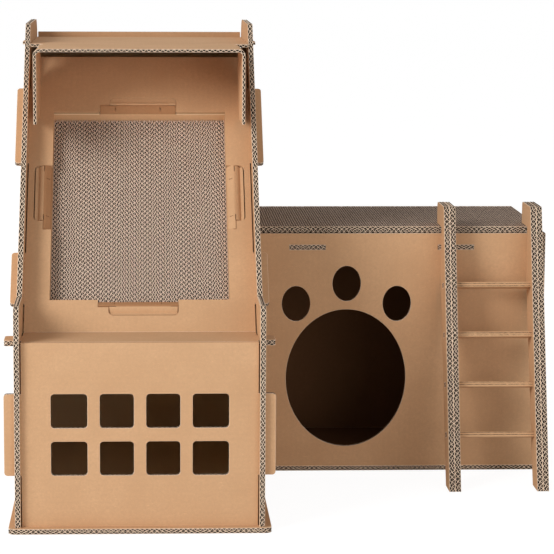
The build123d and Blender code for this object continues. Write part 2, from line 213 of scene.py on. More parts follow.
class Finish(Nodes):
    """A material and the nodes that colour it."""

    def __init__(self, name):
        self.material = bpy.data.materials.new(name)
        self.material.use_nodes = True
        super().__init__(self.material.node_tree)
        self.shader = self.nodes["Principled BSDF"]

    def place(self, shift, stretch=(1, 1, 1), turn=0.0):
        """Coordinates of the object, in metres, shifted so that no two finishes look alike."""
        coords = self.node("ShaderNodeTexCoord").outputs["Object"]
        mapped = self.node("ShaderNodeMapping", Vector=coords, Scale=stretch,
                           Location=(shift, shift * 0.7, shift * 1.3),
                           Rotation=(turn, turn * 0.6, turn * 1.4))
        return mapped.outputs["Vector"]

    def noise(self, coords, scale, detail, roughness, low=0.3, high=0.7):
        """A noise pattern, 0 where it is below low and 1 where it is above high."""
        made = self.node("ShaderNodeTexNoise", Vector=coords, Scale=scale, Detail=detail,
                         Roughness=roughness)
        return self.remap(made.outputs["Fac"], low, high)

    def blended(self, kind, amount, first, second):
        made = self.node("ShaderNodeMix", {"data_type": "RGBA", "blend_type": kind})
        self.feed(made.inputs["Factor"], amount)
        self.feed(made.inputs[6], first)
        self.feed(made.inputs[7], second)
        return made.outputs[2]

    def mix(self, amount, first, second):
        return self.blended("MIX", amount, first, second)

    def tinted(self, amount, body, tint):
        """The colour multiplied by a tint, as far as amount says."""
        return self.blended("MULTIPLY", amount, body, solid(tint))

    def layer(self, body, pattern, amount, tone):
        """Lays a tone over the body where a pattern is, as strongly as amount says."""
        return self.mix(self.maths("MULTIPLY", pattern, amount), body, solid(tone))

    def along(self, axis):
        """How far a point lies along an axis."""
        made = self.node("ShaderNodeVectorMath", {"operation": "DOT_PRODUCT"})
        self.feed(made.inputs[0], self.node("ShaderNodeTexCoord").outputs["Object"])
        self.feed(made.inputs[1], tuple(axis))
        return made.outputs["Value"]

    def between(self, limits):
        """1 where a point lies between all the limits, which are axis, lowest and highest place."""
        inside = None
        for axis, low, high in limits:
            off = self.maths("SUBTRACT", self.along(axis), (low + high) / 2)
            left = self.maths("SUBTRACT", (high - low) / 2, self.maths("ABSOLUTE", off))
            inside = left if inside is None else self.maths("MINIMUM", inside, left)
        return self.remap(inside, -SOFT_EDGE, SOFT_EDGE)

    def ripple(self, coords, axis, pitch):
        """A soft wave across the flutes, from -1 to 1."""
        split = self.node("ShaderNodeSeparateXYZ", Vector=coords)
        turns = self.maths("MULTIPLY", split.outputs[axis], math.tau / pitch)
        return self.maths("SINE", turns)

    def surface(self, body, pattern, roughness, gloss):
        """Sets the colour, how rough the paper is where the pattern is 0 and 1, and its gloss."""
        self.feed(self.shader.inputs["Base Color"], body)
        self.feed(self.shader.inputs["Roughness"], self.remap(pattern, 0.0, 1.0, *roughness))
        self.shader.inputs["Specular IOR Level"].default_value = gloss

    def bump(self, height, strength, distance):
        made = self.node("ShaderNodeBump", Height=height, Strength=strength, Distance=distance)
        self.feed(self.shader.inputs["Normal"], made.outputs["Normal"])


def solid(rgb):
    return (*rgb, 1.0)


def shade(rgb, factor):
    return tuple(min(1.0, channel * factor) for channel in rgb)


def kraft_finish(name, light, dark, across, shift, tone=None):
    """The face of kraft board: clouds, fibres, specks and the faint ripple of the flutes below.

    tone is an optional function that paints light or shade on a part of the sheets."""
    finish = Finish(name)
    plain = finish.place(shift)
    long_way = finish.place(shift + 0.3, stretch=(1.0, 0.14, 0.5), turn=0.4)
    cross_way = finish.place(shift + 0.7, stretch=(0.16, 1.0, 0.7), turn=-0.5)
    clouds = finish.noise(plain, scale=16.0, detail=4.0, roughness=0.6)
    grain = finish.noise(plain, scale=300.0, detail=5.0, roughness=0.7)
    specks = finish.noise(plain, scale=1900.0, detail=1.0, roughness=0.4, low=0.72, high=0.80)
    fibres = finish.maths(
        "MAXIMUM",
        finish.noise(long_way, scale=1500.0, detail=3.0, roughness=0.6, low=0.60, high=0.78),
        finish.noise(cross_way, scale=1300.0, detail=3.0, roughness=0.6, low=0.62, high=0.80),
    )
    ripple = finish.ripple(finish.place(0.0), across, sizes().flute_pitch)
    body = finish.mix(clouds, solid(dark), solid(light))
    body = finish.layer(body, grain, amount=0.85, tone=shade(light, 0.84))
    body = finish.layer(body, fibres, amount=0.55, tone=shade(light, 1.28))
    body = finish.layer(body, specks, amount=0.55, tone=shade(dark, 0.45))
    tint = finish.remap(ripple, -1.0, 1.0, 0.0, RIPPLE_TINT)
    body = finish.mix(tint, body, solid(shade(dark, 0.7)))
    if tone:
        body = tone(finish, body)
    waves = finish.maths("MULTIPLY", ripple, RIPPLE_HEIGHT)
    height = finish.maths("ADD", waves, finish.maths("ADD", grain, fibres))
    finish.surface(body, grain, KRAFT_ROUGHNESS, gloss=0.25)
    finish.bump(height, strength=0.35, distance=0.00012)
    return finish.material


def paper_finish(name, tone, shift, fuzz_scale, contrast):
    """Torn or cut paper: uneven, slightly fuzzy and dull."""
    finish = Finish(name)
    plain = finish.place(shift)
    patches = finish.noise(plain, scale=90.0, detail=3.0, roughness=0.6)
    fuzz = finish.noise(plain, scale=fuzz_scale, detail=3.0, roughness=0.7)
    body = finish.mix(patches, solid(shade(tone, 0.9)), solid(shade(tone, 1.06)))
    body = finish.layer(body, fuzz, contrast, shade(tone, 0.55))
    finish.surface(body, fuzz, TORN_ROUGHNESS, gloss=0.15)
    finish.bump(fuzz, strength=0.4, distance=0.0001)
    return finish.material


def board_finishes(group, level=1.0, across="Z", shift=0.0, tone=None):
    """The finishes of one group's boards: face, cut edge, inside and faces of the house's room. The
    inside and the room's faces are painted shade, and level paints the face lighter or darker as light
    falls on that group.
    """
    palette = colours()
    light, dark = shade(palette.kraft, level), shade(palette.kraft_dark, level)
    # Painted shade: the room's faces are dark kraft, and dim is darker still
    room, dim = palette.room, shade(palette.room, 0.8)
    return [
        kraft_finish(f"{group}_kraft_face", light, dark, across, shift, tone),
        paper_finish(f"{group}_cut_edge", palette.cut_edge, shift, *CUT_FUZZ),
        # Painted shade: the inside finish is near black paper, for the shade in the flutes
        paper_finish(f"{group}_inside", palette.cell, shift, *INSIDE_FUZZ),
        kraft_finish(f"{group}_room_painted_shade_face", room, dim, across, shift + 0.5),
    ]


def box_of(node, axes=(X, Y, Z)):
    """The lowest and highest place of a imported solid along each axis."""
    return [(min(c), max(c)) for c in zip(*seen_along(node, axes))]


DEN_MARGIN = 0.002  # how far the den's painted light goes into the boards around it


def den_painted_light_tone(finish, body):
    """Painted light: the inner faces of the tower below the lounge, which only the windows show, are
    pale, as if lit through the windows.
    """
    _, _, (under, _) = box_of("lounge_panel", LOUNGE_AXES)
    left = box_of("tower_left_wall")[0][1]
    right = box_of("tower_right_wall")[0][0]
    front = box_of("window_panel")[1][1]
    back = box_of("tower_back_panel")[1][0]
    floor = box_of("tower_base")[2][1]
    top = box_of("lounge_panel")[2][1]
    inside = finish.between((
        (X, left - DEN_MARGIN, right + DEN_MARGIN),
        (Y, front - DEN_MARGIN, back + DEN_MARGIN),
        (Z, floor - DEN_MARGIN, top),
        (OFF_SLOPE, -FAR, under + DEN_MARGIN),
    ))
    return finish.mix(inside, body, solid(colours().den_painted_light))


# Painted shade on the flaps' strips and painted light on the tray's walls below them
STRIP_PAINTED_SHADE = (0.68, 0.57, 0.49)
WALL_PAINTED_LIGHT = (1.32, 1.34, 1.36)
STRIP_WIDTH = 0.0108  # of the flaps' strips, from the pad to their fold
FLAP_DROP = 0.0054  # of the strips' lower edge below the lounge panel


def tray_painted_shade_and_light(finish, body):
    """Painted shade and light: the flaps' strips beside the pad are darker, as in shade, and the walls
    below them are paler, as if lit.
    """
    (low, high), (left, right), _ = box_of("lounge_scratch_pad", LOUNGE_AXES)
    _, _, (_, surface) = box_of("lounge_panel", LOUNGE_AXES)
    wall_top = surface - FLAP_DROP
    strips = finish.between((
        (UP_SLOPE, low - STRIP_WIDTH, high + STRIP_WIDTH),
        (X, left - STRIP_WIDTH, right),
        (OFF_SLOPE, wall_top, wall_top + FAR),
    ))
    walls = finish.between(((OFF_SLOPE, wall_top - FAR, wall_top),))
    return finish.tinted(walls, finish.tinted(strips, body, STRIP_PAINTED_SHADE), WALL_PAINTED_LIGHT)


# Corrugated board


SHARPEST = 0.4  # keeps the rim of a pointed corner short
STEP_PLAY = 0.3  # a flute's step this near to a turning point, as a share of a step, is left out
FEW_TURNS = 9  # an outline with more turning points keeps all steps
THINNEST_STEP = SAME * 4
SHORT_FLUTE = 3  # flutes shorter than this many recesses are left out
SHORT_EDGE = 0.003  # edges shorter than this have no closed flank
FLATTEST = 0.17  # an edge less steep than this across the flutes runs along them
PROBE = 0.01  # a step outward, which tells how a face has to be turned
PER_METRE = 1e7  # steps of the grid on which points are joined


class Outline:
    """A sheet's outline in its own directions, with its triangles and its edges."""

    def __init__(self, corners, triangles, joined=None):
        self.corners = corners
        self.triangles = [self.turned(t) for t in triangles]
        known = {edge for a, b, c in self.triangles for edge in ((a, b), (b, c), (c, a))}
        self.edges = sorted((a, b) for a, b in known if (b, a) not in known)
        self.joined = {(a, b) for a, b in self.edges if joined and joined(corners[a], corners[b])}
        self.inward = self.inward_steps()

    def turned(self, triangle):
        a, b, c = (self.corners[i] for i in triangle)
        area = (b[0] - a[0]) * (c[1] - a[1]) - (b[1] - a[1]) * (c[0] - a[0])
        return tuple(triangle) if area > 0 else (triangle[0], triangle[2], triangle[1])

    def side(self, edge):
        """The step of length 1 from an edge into the sheet."""
        (ax, ay), (bx, by) = (self.corners[i] for i in edge)
        reach = math.hypot(bx - ax, by - ay) or 1.0
        return (-(by - ay) / reach, (bx - ax) / reach)

    def inward_steps(self):
        """How a corner moves when all edges next to it move in by 1, and joined edges stay."""
        near = {}
        for edge in self.edges:
            for i in edge:
                near.setdefault(i, []).append((edge in self.joined, self.side(edge)))
        moved = {}
        for i, edges in near.items():
            if len(edges) != 2:
                continue
            (a_stays, (ax, ay)), (b_stays, (bx, by)) = sorted(edges)
            facing = ax * bx + ay * by
            if a_stays:
                moved[i] = (0.0, 0.0)
            elif b_stays:
                moved[i] = (ax - facing * bx, ay - facing * by)
            else:
                scale = 1.0 / max(SHARPEST, 1.0 + facing)
                moved[i] = ((ax + bx) * scale, (ay + by) * scale)
        return moved

    def corner(self, i, inset=0.0):
        (u, v), (du, dv) = self.corners[i], self.inward.get(i, (0.0, 0.0))
        return (u + du * inset, v + dv * inset)

    def crossings(self, v):
        """Where a line along the flutes goes in and out of the sheet."""
        found = []
        for i, j in self.edges:
            (au, av), (bu, bv) = self.corners[i], self.corners[j]
            if (av <= v) != (bv <= v):
                found.append(au + (bu - au) * (v - av) / (bv - av))
        found.sort()
        return list(zip(found[::2], found[1::2]))

    def turning_points(self):
        """The places across the flutes at which a flute starts or ends."""
        near = {}
        for i, j in self.edges:
            near.setdefault(i, []).append(self.corners[j][1])
            near.setdefault(j, []).append(self.corners[i][1])
        places = set()
        for i, others in near.items():
            v = self.corners[i][1]
            if not (min(others) < v - SAME and max(others) > v + SAME):
                places.add(round(v, 7))
        return places


class Board:
    """Collects the faces of one piece; a point is given along the flutes, across and through."""

    def __init__(self, place, plain=None):
        self.place = place
        self.plain = plain or (lambda a, b: False)
        self.points = []
        self.known = {}
        self.faces = []
        self.finishes = []
        self.shell = 0

    def point(self, p):
        key = (self.shell, *(round(place * PER_METRE) for place in p))
        if key not in self.known:
            self.known[key] = len(self.points)
            self.points.append(self.place(*p))
        return self.known[key]

    def face(self, corners, outward, finish):
        ids = list(dict.fromkeys(self.point(p) for p in corners))
        if len(ids) < 3:
            return
        normal = geometry.normal([self.points[i] for i in ids])
        tip = (a + b * PROBE for a, b in zip(corners[0], outward))
        if normal.dot(self.place(*tip) - self.place(*corners[0])) < 0:
            ids.reverse()
        self.faces.append(ids)
        self.finishes.append(finish)

    def wall(self, line, low, high, outward, finish):
        """An upright face on a line, which is given by its two ends."""
        a, b = line
        self.face([(*a, low), (*b, low), (*b, high), (*a, high)], outward, finish)

    def edge_finish(self, outline, edge, finish):
        """Plain edges show the face paper."""
        return FACE if self.plain(*(outline.corners[i] for i in edge)) else finish

    def plate(self, outline, low, high, rim_low, rim_high, finishes):
        """One liner: a thin sheet with a worn rim. finishes are its lower, upper and cut faces."""
        self.shell += 1
        below, above, cut = finishes
        cut_edges = [edge for edge in outline.edges if edge not in outline.joined]
        for level, rim, step, finish in ((low, rim_low, -1, below), (high, rim_high, 1, above)):
            for triangle in outline.triangles:
                ring = [(*outline.corner(i, rim), level) for i in triangle]
                self.face(ring, (0, 0, step), finish)
            for edge in cut_edges if rim else ():
                su, sv = outline.side(edge)
                ring = [(*outline.corner(i, rim), level) for i in edge]
                ring += [(*outline.corner(i), level - step * rim) for i in reversed(edge)]
                self.face(ring, (-su, -sv, step), self.edge_finish(outline, edge, cut))
        for edge in cut_edges:
            su, sv = outline.side(edge)
            line = [outline.corner(i) for i in edge]
            self.wall(line, low + rim_low, high - rim_high, (-su, -sv, 0),
                      self.edge_finish(outline, edge, cut))

    def flutes(self, outline, low, high, pitch, phase):
        """The wavy paper between two liners, cut off at the outline."""
        size = sizes()
        self.shell += 1
        paper = size.flute_paper
        middle = (low + high) / 2
        swing = (high - low - paper) / 2
        step = pitch / size.flute_steps
        first = min(v for _, v in outline.corners)
        last = max(v for _, v in outline.corners)
        steps = range(math.floor(first / step) + 1, math.ceil(last / step))
        places = {round(k * step, 7) for k in steps}
        turning = outline.turning_points()
        if len(turning) < FEW_TURNS:
            places = {v for v in places if all(abs(v - t) > step * STEP_PLAY for t in turning)}
        places = sorted(places | turning)

        def levels(v):
            """The lower and upper side of the wavy paper."""
            turn = math.tau * v / pitch + phase
            steep = swing * math.tau / pitch * math.cos(turn)
            half = paper / 2 * math.hypot(1.0, steep)
            centre = middle + swing * math.sin(turn)
            return max(low, centre - half), min(high, centre + half)

        def inset(a, b):
            return a + size.flute_recess, b - size.flute_recess

        def rounded(span):
            return round(span[0], 5), round(span[1], 5)

        def end(span, v, way):
            """Closes the wavy paper where a flute starts or ends across the sheet."""
            self.wall([(u, v) for u in span], *levels(v), (0, way, 0), INSIDE)

        before = []
        for va, vb in zip(places, places[1:]):
            if vb - va < THINNEST_STEP:
                continue
            spans_a, spans_b = outline.crossings(va + SAME), outline.crossings(vb - SAME)
            pairs = zip(spans_a, spans_b) if len(spans_a) == len(spans_b) else ()
            spans = [(inset(*a), inset(*b)) for a, b in pairs
                     if min(a[1] - a[0], b[1] - b[0]) > SHORT_FLUTE * size.flute_recess]
            low_a, high_a = levels(va)
            low_b, high_b = levels(vb)
            starts = {rounded(a) for a, _ in spans}
            ends = {rounded(b): b for b in before}
            for (a0, a1), (b0, b1) in spans:
                self.face([(a0, va, high_a), (a1, va, high_a), (b1, vb, high_b), (b0, vb, high_b)],
                          (0, 0, 1), INSIDE)
                self.face([(a0, va, low_a), (a1, va, low_a), (b1, vb, low_b), (b0, vb, low_b)],
                          (0, 0, -1), INSIDE)
                for a, b, out in ((a0, b0, -1), (a1, b1, 1)):
                    self.face([(a, va, low_a), (a, va, high_a), (b, vb, high_b), (b, vb, low_b)],
                              (out, 0, 0), CUT)
                if rounded((a0, a1)) not in ends:
                    end((a0, a1), va, -1)
            for key, span in ends.items():
                if key not in starts:
                    end(span, va, 1)
            before = [b for _, b in spans]
        for span in before:
            end(span, places[-1], 1)

    def closed_edges(self, outline, low, high):
        """The flank of the last flute, which closes an edge that runs along the flutes."""
        size = sizes()
        thick = size.flute_recess * 2
        for edge in outline.edges:
            (au, av), (bu, bv) = (outline.corners[i] for i in edge)
            along_flutes = abs(bu - au) > SHORT_EDGE and abs(bv - av) < FLATTEST * abs(bu - au)
            plain = self.plain((au, av), (bu, bv))
            if edge in outline.joined or not (along_flutes or plain):
                continue
            depth = 0.0 if plain else thick
            self.shell += 1
            su, sv = outline.side(edge)
            outer = [outline.corner(i, depth) for i in edge]
            inner = [(u + su * thick, v + sv * thick) for u, v in outer]
            seen = self.edge_finish(outline, edge, CUT)
            for line, out, finish in (
                (outer, (-su, -sv, 0), seen),
                (inner, (su, sv, 0), INSIDE),
                ((outer[0], inner[0]), (au - bu, av - bv, 0), INSIDE),
                ((outer[1], inner[1]), (bu - au, bv - av, 0), INSIDE),
            ):
                self.wall(line, low, high, out, finish)
            for level, out in ((low, -1), (high, 1)):
                ring = [(*p, level) for p in (*outer, *reversed(inner))]
                self.face(ring, (0, 0, out), INSIDE)

    def corrugated(self, outline, low, high, rows, phase, room=None):
        """A whole sheet of board: liners on both faces and between its rows of flutes."""
        size = sizes()
        liner, rim = size.liner, size.rim
        under, over = (ROOM_PAINTED_SHADE if room == side else FACE for side in (LOWER, UPPER))
        self.plate(outline, low, low + liner, rim, 0.0, (under, INSIDE, CUT))
        self.plate(outline, high - liner, high, 0.0, rim, (INSIDE, over, CUT))
        levels = [low + liner]
        for row in range(1, rows):
            middle = low + (high - low) * row / rows
            half = size.middle_liner / 2
            self.plate(outline, middle - half, middle + half, 0.0, 0.0, (INSIDE, INSIDE, CUT))
            levels += [middle - half, middle + half]
        levels.append(high - liner)
        for row in range(rows):
            floor, ceiling = levels[2 * row], levels[2 * row + 1]
            pitch = size.fine_pitch if row % 2 else size.flute_pitch
            self.flutes(outline, floor, ceiling, pitch, phase)
            self.closed_edges(outline, floor, ceiling)

    def strip(self, line, tops, floor, half, finishes):
        """Paper on edge along a line, with a top for each point and half its thickness on each
        side. finishes are its rim, sides and ends."""
        rim, side, end = finishes
        start, last = len(self.points), len(line) - 1
        for n, ((u, v), top) in enumerate(zip(line, tops)):
            (pu, pv), (nu, nv) = line[max(0, n - 1)], line[min(last, n + 1)]
            reach = math.hypot(nu - pu, nv - pv)
            ou, ov = -(nv - pv) / reach * half, (nu - pu) / reach * half
            for way, level in ((1, top), (-1, top), (-1, floor), (1, floor)):
                self.points.append(self.place(u + way * ou, v + way * ov, level))
        for n in range(last):
            a = start + 4 * n
            b = a + 4
            self.faces += [[a + i, a + j, b + j, b + i] for i, j in ((0, 1), (1, 2), (3, 0))]
            self.finishes += [rim, side, side]
        a, b = start, start + 4 * last
        self.faces += [[a, a + 3, a + 2, a + 1], [b, b + 1, b + 2, b + 3]]
        self.finishes += [end, end]

    def finished(self, name, materials):
        """The piece as an object with its materials."""
        mesh = bpy.data.meshes.new(name)
        mesh.from_pydata(self.points, [], self.faces)
        for material in materials:
            mesh.materials.append(material)
        mesh.polygons.foreach_set("material_index", self.finishes)
        mesh.validate()
        mesh.update()
        return added(name, mesh)


def along_axes(u, v, w):
    """Puts a point given along a sheet's own directions where it belongs in the castle."""
    return lambda a, b, c: u * a + v * b + w * c


def seen_along(node, axes):
    """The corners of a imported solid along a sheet's own directions."""
    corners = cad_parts[node].data.vertices
    return [tuple(corner.co.dot(axis) for axis in axes) for corner in corners]


def sheet_outline(node, axes):
    """The outline of a packed sheet, with its lowest and highest level."""
    points = seen_along(node, axes)
    low, high = box_of(node, axes)[2]
    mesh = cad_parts[node].data
    mesh.calc_loop_triangles()
    corners, index, triangles = [], {}, []

    def corner(p):
        key = (round(p[0], 6), round(p[1], 6))
        if key not in index:
            index[key] = len(corners)
            corners.append((p[0], p[1]))
        return index[key]

    for triangle in mesh.loop_triangles:
        ring = [points[i] for i in triangle.vertices]
        if min(p[2] for p in ring) > high - FLUSH:
            ids = [corner(p) for p in ring]
            if len(set(ids)) == 3:
                triangles.append(ids)
    return Outline(corners, triangles), low, high


def settle(piece, node):
    """Puts a finished piece in its node's place."""
    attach(piece, BODY)
    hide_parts(node)


def make_sheet(node, axes, materials, chance, plain=None, room=None):
    """A flat sheet of double wall board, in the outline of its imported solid."""
    outline, low, high = sheet_outline(node, axes)
    board = Board(along_axes(*axes), plain)
    phase = chance.uniform(0.0, math.tau)
    board.corrugated(outline, low, high, BOARD_ROWS, phase, room)
    settle(board.finished(f"{node}_board", materials), node)


# Folded roof


FOLD_RADIUS = 0.006  # of the middle of the sheet
FOLD_STEPS = 6
FOLD_LENGTH = FOLD_RADIUS * math.pi / 2
TAB_ROOM = 0.002  # less than the tabs' reach beyond the wide part


def over_folds(half, top, thickness):
    """Bends a sheet down over the hood's two sides: along, across its middle and out of it."""
    flat = half - FOLD_RADIUS
    middle = top - thickness / 2

    def place(along, across, out):
        side = math.copysign(1.0, across)
        past = abs(across) - flat
        if past <= 0:
            return Vector((across, along, middle + out))
        if past >= FOLD_LENGTH:
            return Vector((side * (half + out), along, middle - FOLD_RADIUS - (past - FOLD_LENGTH)))
        angle = past / FOLD_RADIUS
        reach = FOLD_RADIUS + out
        return Vector((side * (flat + reach * math.sin(angle)), along,
                       middle - FOLD_RADIUS + reach * math.cos(angle)))

    return place


def hood_outline(front, wide_front, low_back, flat, meet, last):
    """The folded part laid flat: its flaps end at the lounge's slope, its top at the wide part."""
    right = [flat + FOLD_LENGTH * k / FOLD_STEPS for k in range(FOLD_STEPS + 1)] + [meet, last]
    stations = [-v for v in reversed(right)] + right
    corners = []
    for v in stations:
        back = low_back if abs(v) > meet else wide_front
        corners += [(front, v), (back, v)]
    triangles = []
    for k in range(0, len(corners) - 2, 2):
        triangles += [(k, k + 1, k + 3), (k, k + 3, k + 2)]

    def joined(a, b):
        return min(a[0], b[0]) > wide_front - SAME and max(abs(a[1]), abs(b[1])) < flat + SAME

    return Outline(corners, triangles, joined)


def wide_outline(front, back, flat, half, tabs, reach):
    """The wide part between the walls, with its tabs; its front is joined to the hood's top."""
    lines = [front, *tabs, back]
    columns = [-reach, -half, -flat, flat, half, reach]
    corners = [(u, v) for u in lines for v in columns]
    triangles = []
    for row in range(len(lines) - 1):
        for column in range(len(columns) - 1):
            beside = column in (0, len(columns) - 2)
            if beside and row != 1:  # only the tabs stand out at the sides
                continue
            a = row * len(columns) + column
            b = a + len(columns)
            triangles += [(a, b, b + 1), (a, b + 1, a + 1)]

    def joined(a, b):
        return max(a[0], b[0]) < front + SAME and max(abs(a[1]), abs(b[1])) < flat + SAME

    return Outline(corners, triangles, joined)


def make_roof(node, materials):
    """One sheet with a single row of flutes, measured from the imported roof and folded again."""
    points = [v.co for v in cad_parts[node].data.vertices]
    (_, reach), (front, back), (low, top) = box_of(node)
    tab_ys = [p.y for p in points if abs(p.x) > reach - NEAR]
    tabs = (min(tab_ys), max(tab_ys))
    wide = [p for p in points if abs(p.x) < reach - TAB_ROOM and p.y > back - NEAR]
    half_wide = max(abs(p.x) for p in wide)
    thickness = top - min(p.z for p in wide)
    wide_front = min(p.y for p in points if abs(abs(p.x) - half_wide) < NEAR)
    half = max(abs(p.x) for p in points if p.y < front + NEAR) - thickness / 2
    low_back = max(p.y for p in points if p.z < low + NEAR)
    meet_height = min(p.z for p in points if abs(p.y - wide_front) < NEAR)
    flat = half - FOLD_RADIUS
    fold_foot = top - thickness / 2 - FOLD_RADIUS
    straight = flat + FOLD_LENGTH
    last = straight + fold_foot - low
    meet = straight + fold_foot - meet_height
    board = Board(over_folds(half, top, thickness))
    hood = hood_outline(front, wide_front, low_back, flat, meet, last)
    board.corrugated(hood, -thickness / 2, thickness / 2, rows=1, phase=0.0)
    board.place = along_axes(Y, X, Z)
    between_walls = wide_outline(wide_front, back, flat, half_wide, tabs, reach)
    board.corrugated(between_walls, top - thickness, top, rows=1, phase=0.0)
    settle(board.finished(f"{node}_board", materials), node)


# Scratch pads


WANDER = 0.12  # how far a wave strays from an even pitch at each step
LEAST_SWING = 0.85  # of a wave, beside its full swing
WAVE_WEAR = 0.6  # how uneven a wave's rim is, as a share of the pad's wear
WAVE_ROOM = 0.8  # room for the wave's own paper between two liners, as a share of that paper


def make_pad_ends(node, axes, materials, chance):
    """Thin end strips of the pad, whose flutes run into it, so that its front shows cells too."""
    size = sizes()
    (u0, u1), (v0, v1), (w0, w1) = box_of(node, axes)
    rows = round((w1 - w0) / size.pad_row)
    board = Board(along_axes(*axes))
    for low, high in ((u0, u0 + size.pad_end), (u1 - size.pad_end, u1)):
        corners = [(low, v0), (high, v0), (high, v1), (low, v1)]
        outline = Outline(corners, [(0, 1, 2), (0, 2, 3)])
        board.corrugated(outline, w0, w1, rows, chance.uniform(0.0, math.tau))
    settle(board.finished(f"{node}_ends", materials), node)


def turn_outward(mesh, weld=0.0):
    """Turns all faces outward, after corners nearer than weld are joined."""
    faces = bmesh.new()
    faces.from_mesh(mesh)
    if weld:
        bmesh.ops.remove_doubles(faces, verts=faces.verts, dist=weld)
    bmesh.ops.recalc_face_normals(faces, faces=faces.faces)
    faces.to_mesh(mesh)
    faces.free()


def make_pad(node, axes, materials, chance, liner, ends=0.0):
    """Strips of board on edge: liners side by side with a wave of paper between each two.

    ends is the room left at the front and back for end strips."""
    size = sizes()
    (u0, u1), (v0, v1), (w0, w1) = box_of(node, axes)
    u0, u1 = u0 + ends, u1 - ends
    floor = w1 - size.cell_depth
    board = Board(along_axes(*axes))
    rims, walls, bottom, wave_rims, cover = range(5)
    half = liner / 2
    rows = max(1, round((v1 - v0 - liner) / size.pad_row))
    row = (v1 - v0 - liner) / rows

    def box(a0, a1, b0, b1, c0, c1, top, sides):
        board.shell += 1
        ring = [(a0, b0), (a1, b0), (a1, b1), (a0, b1)]
        board.face([(a, b, c1) for a, b in ring], (0, 0, 1), top)
        board.face([(a, b, c0) for a, b in ring], (0, 0, -1), sides)
        for k, out in enumerate(((0, -1, 0), (1, 0, 0), (0, 1, 0), (-1, 0, 0))):
            finish = rims if out[0] and not ends else sides
            if out[1] and min(abs(ring[k][1] - side) for side in (v0, v1)) < SAME:
                finish = cover
            board.wall((ring[k], ring[(k + 1) % 4]), c0, c1, out, finish)

    box(u0, u1, v0, v1, w0, floor, bottom, bottom)
    worn = [w1 - chance.uniform(0.0, size.pad_wear) for _ in range(2 * rows + 1)]
    for k in range(rows + 1):
        centre = v0 + half + k * row
        box(u0, u1, centre - half, centre + half, floor, worn[k], rims, walls)
    step = size.pad_pitch / size.flute_steps
    count = int((u1 - u0 - half) / step)
    swing = (row - liner - size.pad_paper * WAVE_ROOM) / 2
    for k in range(rows):
        centre = v0 + half + (k + 0.5) * row
        turn = chance.uniform(0.0, size.flute_steps)
        slide = chance.uniform(0.0, 1.0) * step
        line = []
        for n in range(count):
            u = u0 + (half + slide) / 2 + n * step
            turn += chance.uniform(-1.0, 1.0) * WANDER
            wave = math.sin(math.tau * (n + turn) / size.flute_steps)
            line.append((u, centre + wave * swing * chance.uniform(LEAST_SWING, 1.0)))
        tops = [worn[rows + k] - chance.uniform(0.0, size.pad_wear * WAVE_WEAR) for _ in line]
        board.strip(line, tops, floor, size.pad_paper / 2, (wave_rims, walls, walls if ends else rims))
    piece = board.finished(f"{node}_strips", materials)
    turn_outward(piece.data)
    settle(piece, node)


def pad_finishes(group, wave_painted_shade, shift):
    """The finishes of a pad's liner rims, cell walls, cell floors, wave rims and outer sides. The cell
    walls and floors are painted shade, near black, the floors darker still.
    """
    palette = colours()
    # Painted shade: below 1 the wave rims are darker than the liner rims, for the shade between the
    # strips
    waves = shade(palette.pad_rim, wave_painted_shade)
    return [
        paper_finish(f"{group}_rims", palette.pad_rim, shift, *RIM_FUZZ),
        # Painted shade: the cells' walls are near black and their floors darker still
        paper_finish(f"{group}_cell_walls_painted_shade", palette.pad_cell_painted_shade, shift, *CELL_FUZZ),
        paper_finish(f"{group}_cell_floor_painted_shade", shade(palette.pad_cell_painted_shade, 0.5), shift, *CELL_FUZZ),
        paper_finish(f"{group}_wave_rims", waves, shift + 0.2, *RIM_FUZZ),
        kraft_finish(f"{group}_cover", palette.kraft, palette.kraft_dark, "Y", shift + 0.4),
    ]


# Lounge tray


# The tongues' middle line, from their fold outward: how far out and how high above the panel
PACKED_TONGUE = ((0.010, 0.0016), (0.0135, -0.0032), (0.0228, -0.0018))
TUCKED_TONGUE = ((0.010, 0.0016), (0.0165, -0.0040), (0.0214, -0.0014))
LEVEL_TONGUE = ((0.010, 0.0016), (0.0135, -0.0003), (0.0228, -0.0002))  # of the upper flap
TONGUE_PLAY = 0.979  # how much shorter the other flaps' tongues are than packed
PAD_PLAY = 0.0005  # of the pad in its tray
FOLD_ROOM = 0.0008  # from the fold to the first points that belong to a tongue alone
TONGUE_DEPTH = 0.0075  # below the panel's face; the tray's own points lie deeper


def bent_again(out, packed, wanted):
    """Where a place on a tongue goes: how far out it lies then, and how much higher."""
    k = 1 if out > packed[1][0] else 0
    (a0, z0), (a1, z1), (b0, y0), (b1, y1) = packed[k:k + 2] + wanted[k:k + 2]
    part = (out - a0) / (a1 - a0)
    return b0 + (b1 - b0) * part, y0 + (y1 - y0) * part - z0 - (z1 - z0) * part


